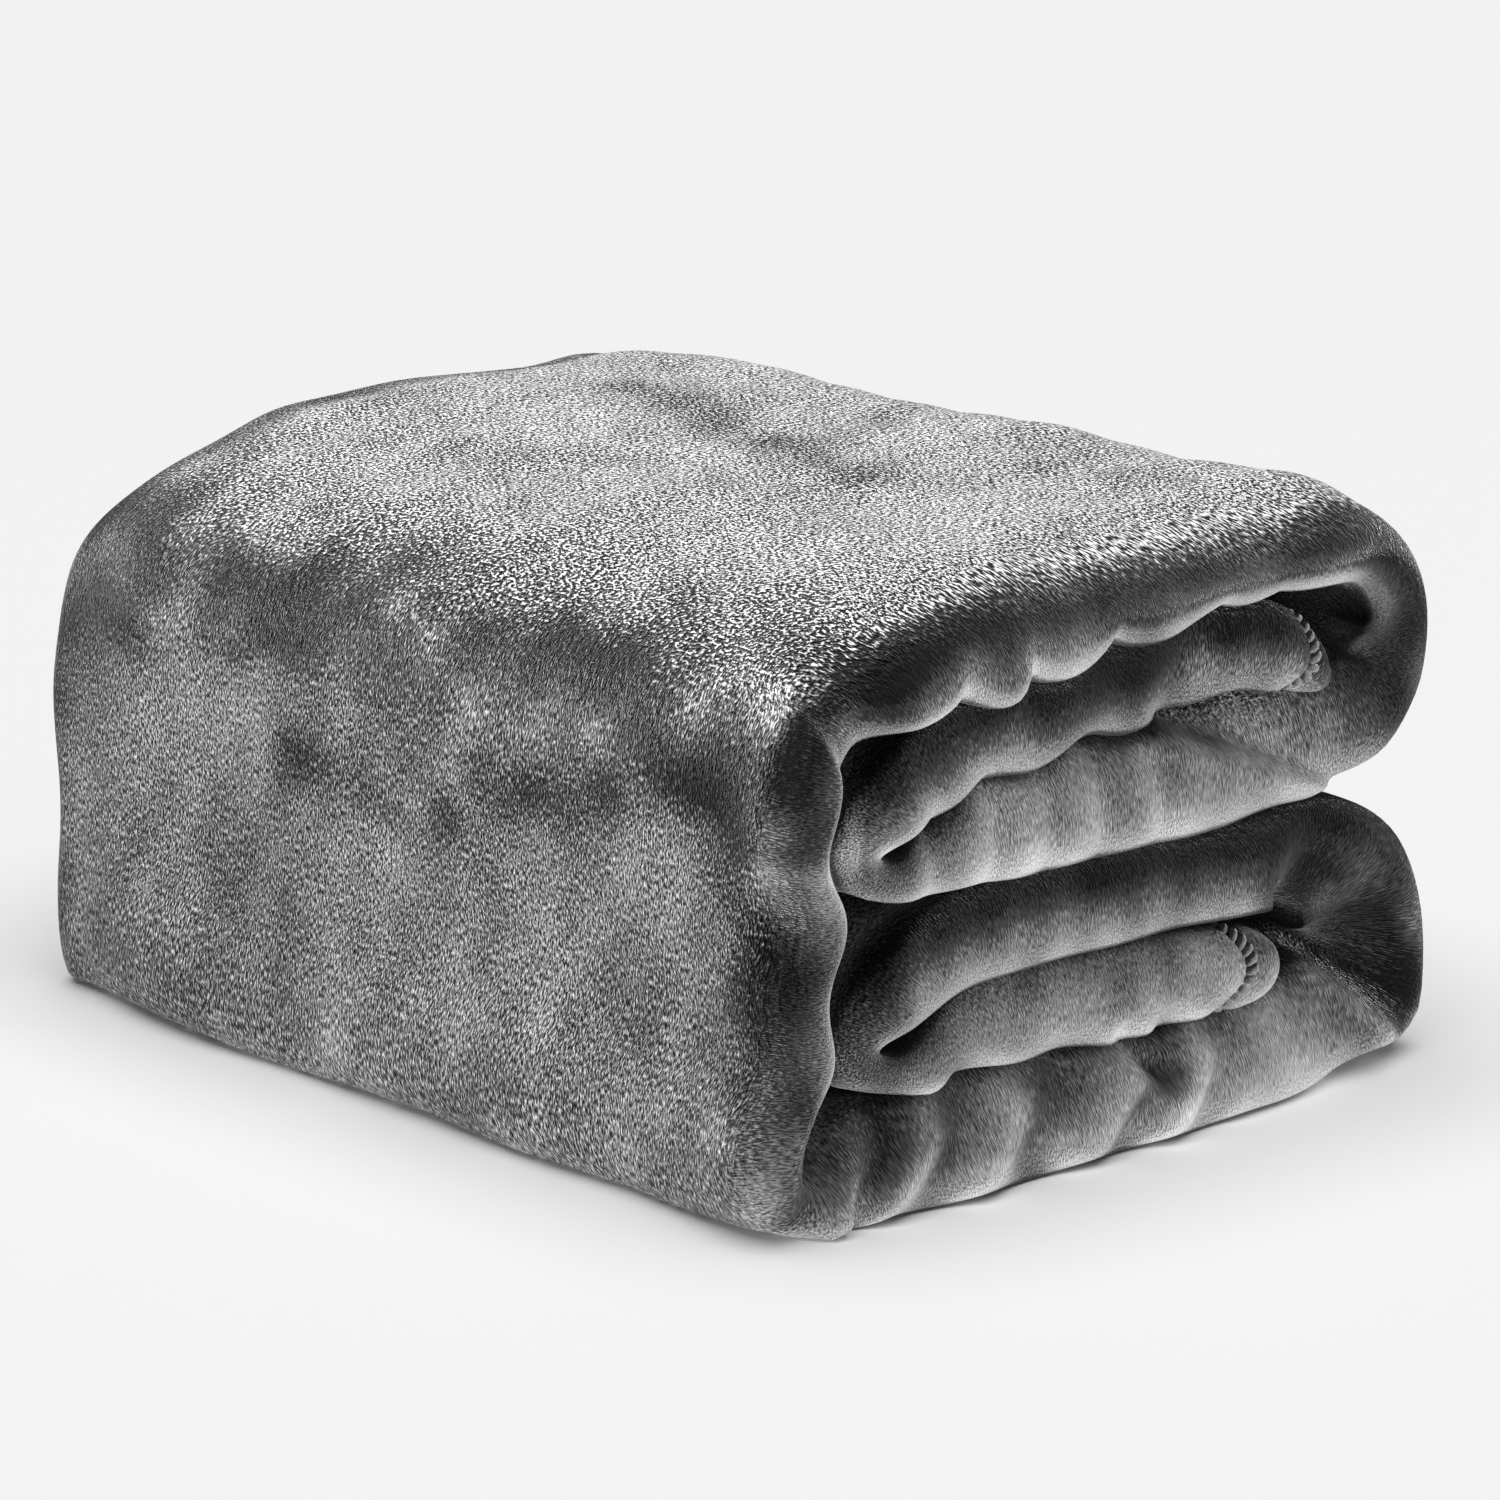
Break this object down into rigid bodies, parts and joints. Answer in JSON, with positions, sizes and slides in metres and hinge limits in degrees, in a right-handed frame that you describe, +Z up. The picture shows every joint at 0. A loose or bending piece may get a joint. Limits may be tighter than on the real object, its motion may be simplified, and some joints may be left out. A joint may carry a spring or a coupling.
{
  "type": "folded throw blanket",
  "caption": "Plush fleece throw folded into a thick rectangular pile, with rolled folds at the ends and a smooth spine; opens at two folds like a box lid.",
  "frame": {"origin": "middle of the pile's base, on the surface it rests on", "axes": "+X from the smooth spine to the open side, +Y along the pile from the near end to the far end, +Z up"},
  "size_m": [0.26, 0.348, 0.172],
  "materials": {
    "plush": "brushed double-sided plush fleece, heather grey",
    "hem": "the same fleece turned over and sewn down",
    "stitching": "matt overlock thread, grey"
  },
  "bodies": {
    "lower_half": {"bottom_panel": "plush", "lower_free_fold": "plush", "lower_inner_panel": "plush", "lower_inner_fold": "plush", "lower_tucked_panel": "plush", "lower_end_hem": "hem", "lower_hem_stitching": "stitching"},
    "spine": {"spine_panel": "plush"},
    "upper_half": {"top_panel": "plush", "upper_free_fold": "plush", "upper_inner_panel": "plush", "upper_inner_fold": "plush", "upper_tucked_panel": "plush", "upper_end_hem": "hem", "upper_hem_stitching": "stitching"}
  },
  "joints": [
    {"name": "foot_fold", "type": "hinge", "parent": "lower_half", "child": "spine", "pos_m": [-0.132, 0, 0], "axis": [0, -1, 0], "range_deg": [0, 90]},
    {"name": "shoulder_fold", "type": "hinge", "parent": "spine", "child": "upper_half", "pos_m": [-0.132, 0, 0.178], "axis": [0, -1, 0], "range_deg": [0, 90]}
  ]
}
